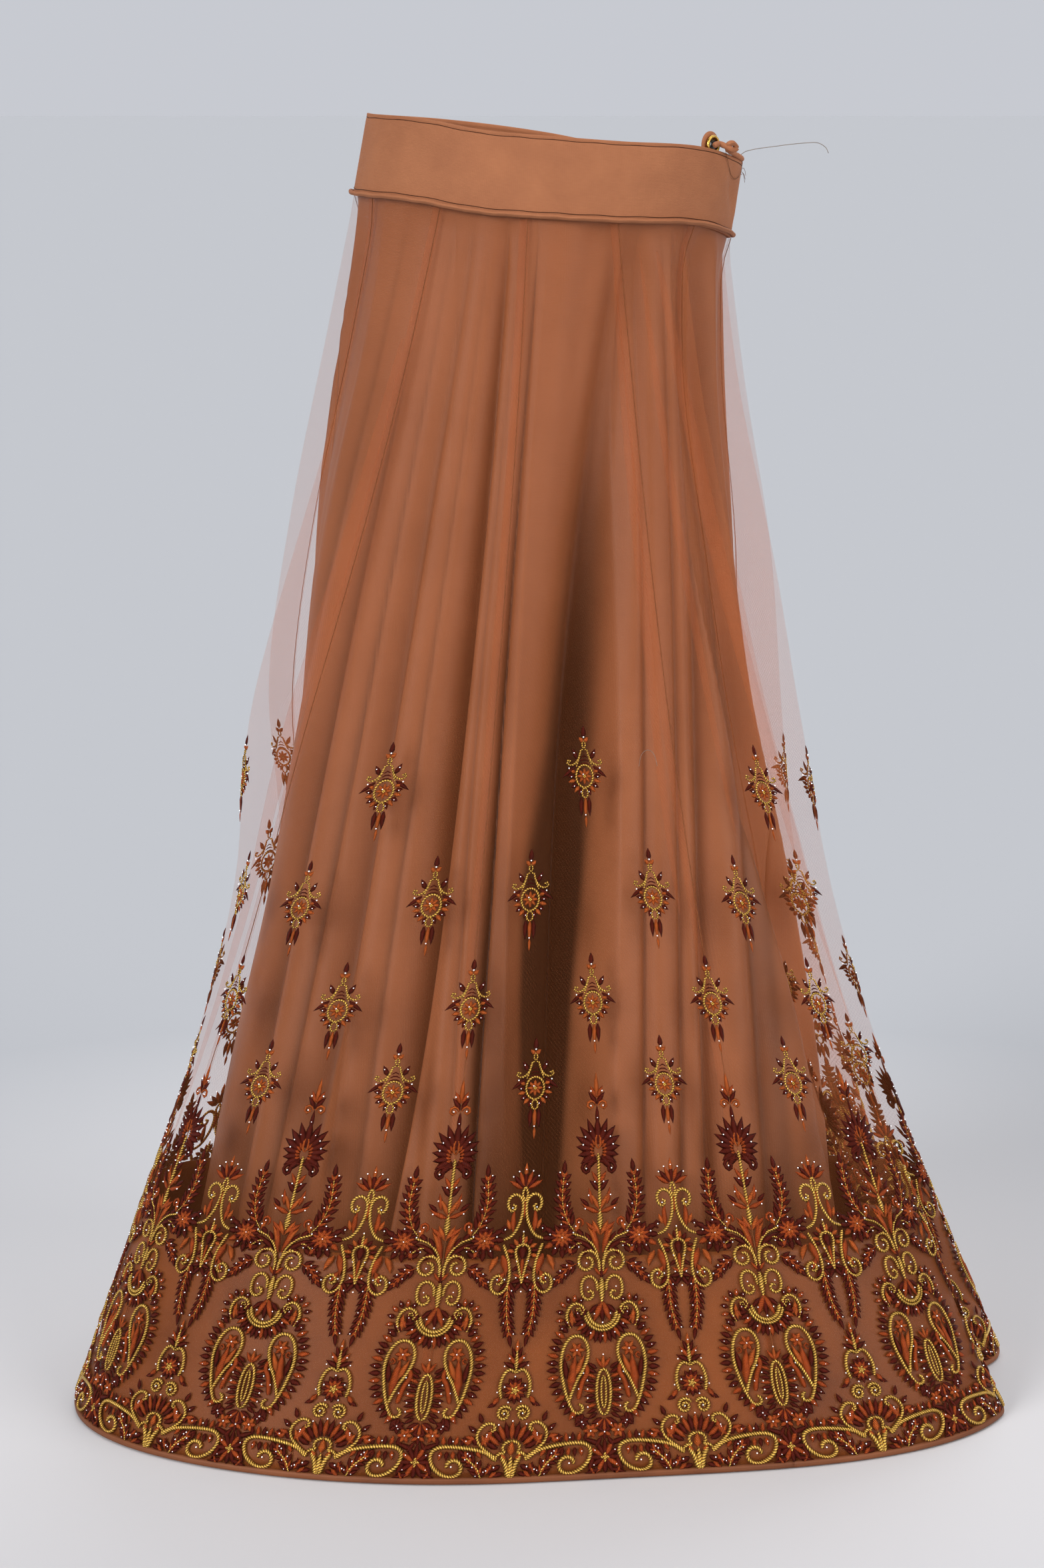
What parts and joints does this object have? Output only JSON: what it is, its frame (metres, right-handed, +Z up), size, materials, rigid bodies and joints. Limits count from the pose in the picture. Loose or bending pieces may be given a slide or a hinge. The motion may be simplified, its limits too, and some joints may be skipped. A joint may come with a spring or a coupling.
{
  "type": "panelled net lehenga skirt",
  "caption": "Floor-length flared skirt: embroidered net panels over a satin lining, wide hip band with piping, and a button and loop closure at the side.",
  "frame": {"origin": "centre of the hip band's mouth, where the wearer's body holds the skirt", "axes": "+Z up out of the band, -Y to the wearer's front, +X to the closure at the wearer's left side"},
  "size_m": [0.7809, 0.6697, 1.0509],
  "materials": {
    "net": "sheer net",
    "satin": "satin",
    "band": "plain weave",
    "gilt": "polished",
    "stone": "polished"
  },
  "bodies": {
    "root": {"button_rim": "gilt", "button_stone": "stone", "closure_loop": "band", "closure_tab": "band", "hem_binding_back": "band", "hem_binding_front": "band", "hem_binding_left": "band", "hem_binding_right": "band", "hem_facing_back": "satin", "hem_facing_front": "satin", "hem_facing_left": "satin", "hem_facing_right": "satin", "lining_back": "satin", "lining_front": "satin", "net_panel_01": "net", "net_panel_02": "net", "net_panel_03": "net", "net_panel_04": "net", "net_panel_05": "net", "net_panel_06": "net", "net_panel_07": "net", "net_panel_08": "net", "net_panel_09": "net", "net_panel_10": "net", "net_panel_11": "net", "net_panel_12": "net", "waist_piping_back": "band", "waist_piping_front": "band", "waistband_back": "band", "waistband_front": "band"}
  },
  "joints": []
}
